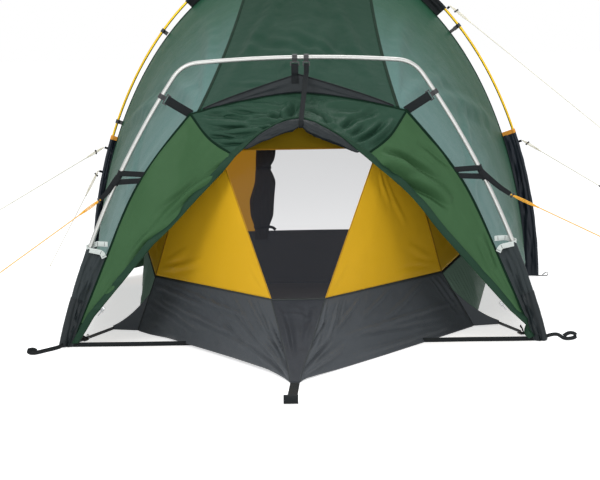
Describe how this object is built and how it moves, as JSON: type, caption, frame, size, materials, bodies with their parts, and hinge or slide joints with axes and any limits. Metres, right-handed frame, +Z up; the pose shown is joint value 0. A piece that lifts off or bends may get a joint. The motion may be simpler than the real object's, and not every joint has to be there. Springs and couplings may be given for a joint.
{
  "type": "backpacking tent",
  "caption": "Pitched two-hoop tunnel tent with a low foot hoop, a tall main hoop, an open foot hatch, an inner tent with a pointed groundsheet, and an open porch.",
  "frame": {"origin": "on the ground, in the middle of the pitched tent without its guylines", "axes": "+Z up, +Y from the foot end to the door end, +X to the right seen from the foot end"},
  "size_m": [2.1547, 3.3467, 1.198],
  "materials": {
    "silver_pole": "clear anodised tube",
    "yellow_pole": "gold anodised tube",
    "fly_green": "coated ripstop nylon, dull sheen",
    "fly_teal": "coated ripstop nylon, dull sheen",
    "hood_green": "coated ripstop nylon, dull sheen",
    "navy_sleeve": "heavy woven nylon",
    "grey_sleeve": "heavy woven nylon",
    "rolled_flap": "coated nylon, inner side",
    "black_webbing": "flat woven webbing",
    "black_plastic": "moulded acetal",
    "orange_trim": "bound woven tape",
    "inner_yellow": "breathable ripstop nylon",
    "inner_mesh": "insect netting",
    "groundsheet": "coated taffeta",
    "reflective_tape": "reflective tape",
    "pale_cord": "braided cord",
    "orange_cord": "braided cord",
    "slider_metal": "plated die-cast"
  },
  "bodies": {
    "pitched_tent": {"apex_sleeve": "black_webbing", "base_strap": "black_webbing", "bathtub_floor": "groundsheet", "corner_strap_left": "black_webbing", "corner_strap_right": "black_webbing", "corner_webbing_left": "black_webbing", "corner_webbing_right": "black_webbing", "fly_roof": "fly_green", "fly_side_left": "fly_teal", "fly_side_right": "fly_teal", "foot_hoop_pole": "silver_pole", "foot_sleeve_left": "grey_sleeve", "foot_sleeve_right": "grey_sleeve", "guyline_foot_left": "orange_cord", "guyline_foot_right": "orange_cord", "guyline_main_left": "pale_cord", "guyline_main_right": "pale_cord", "guyline_rear_left": "pale_cord", "guyline_top_right": "pale_cord", "head_wall": "inner_yellow", "hood_centre": "hood_green", "hood_left": "hood_green", "hood_right": "hood_green", "inner_door_roll": "rolled_flap", "inner_front_left": "inner_yellow", "inner_front_mesh": "inner_mesh", "inner_front_right": "inner_yellow", "inner_front_top": "inner_yellow", "inner_roof": "inner_yellow", "inner_side_left": "inner_yellow", "inner_side_right": "inner_yellow", "ladder_lock": "black_plastic", "main_clip_left_high": "black_plastic", "main_clip_left_low": "black_plastic", "main_clip_right": "black_plastic", "main_hoop_pole": "yellow_pole", "main_sleeve_left": "navy_sleeve", "main_sleeve_right": "navy_sleeve", "mid_band_left": "black_webbing", "mid_band_right": "black_webbing", "prow_strap": "black_webbing", "reflective_tab_left": "reflective_tape", "reflective_tab_right": "reflective_tape", "ridge_gusset": "black_webbing", "roll_strap": "black_webbing", "rolled_hatch": "rolled_flap", "sleeve_trim_left": "orange_trim", "sleeve_trim_right": "orange_trim", "vestibule_brow": "fly_green", "vestibule_door_roll": "fly_green", "vestibule_left": "fly_teal", "vestibule_right": "fly_teal"},
    "door_slider": {"door_slider": "slider_metal"},
    "hatch_slider_left": {"hatch_slider_left": "slider_metal"},
    "hatch_slider_right": {"hatch_slider_right": "slider_metal"},
    "corner_hook_left": {"corner_hook_left": "black_plastic"},
    "corner_hook_right": {"corner_hook_right": "black_plastic"},
    "top_hook_left": {"top_hook_left": "black_plastic"},
    "top_hook_right": {"top_hook_right": "black_plastic"},
    "line_tensioner": {"line_tensioner": "black_plastic"}
  },
  "joints": [
    {"name": "door_slider_run", "type": "slide", "parent": "pitched_tent", "child": "door_slider", "axis": [-0.141, -0.4365, 0.8886], "range_m": [0, 0.95]},
    {"name": "hatch_slider_left_run", "type": "slide", "parent": "pitched_tent", "child": "hatch_slider_left", "axis": [0.643, -0.1493, 0.7511], "range_m": [0, 0.24]},
    {"name": "hatch_slider_right_run", "type": "slide", "parent": "pitched_tent", "child": "hatch_slider_right", "axis": [-0.643, -0.1493, 0.7511], "range_m": [0, 0.24]},
    {"name": "corner_hook_left_swing", "type": "hinge", "parent": "pitched_tent", "child": "corner_hook_left", "pos_m": [-0.38921, -0.6715, 0.718], "axis": [0.534, 0, 0.8455], "range_deg": [-4, 4]},
    {"name": "corner_hook_right_swing", "type": "hinge", "parent": "pitched_tent", "child": "corner_hook_right", "pos_m": [0.38921, -0.6715, 0.718], "axis": [0.534, 0, -0.8455], "range_deg": [-4, 4]},
    {"name": "top_hook_left_swing", "type": "hinge", "parent": "pitched_tent", "child": "top_hook_left", "pos_m": [-0.0075, -0.6715, 0.82246], "axis": [1, 0, 0], "range_deg": [-4, 4]},
    {"name": "top_hook_right_swing", "type": "hinge", "parent": "pitched_tent", "child": "top_hook_right", "pos_m": [0.0255, -0.6715, 0.82237], "axis": [1, 0, 0], "range_deg": [-4, 4]},
    {"name": "line_tensioner_slide", "type": "slide", "parent": "pitched_tent", "child": "line_tensioner", "axis": [-0.5658, 0.7541, 0.3334], "range_m": [-0.025, 0.15]}
  ]
}
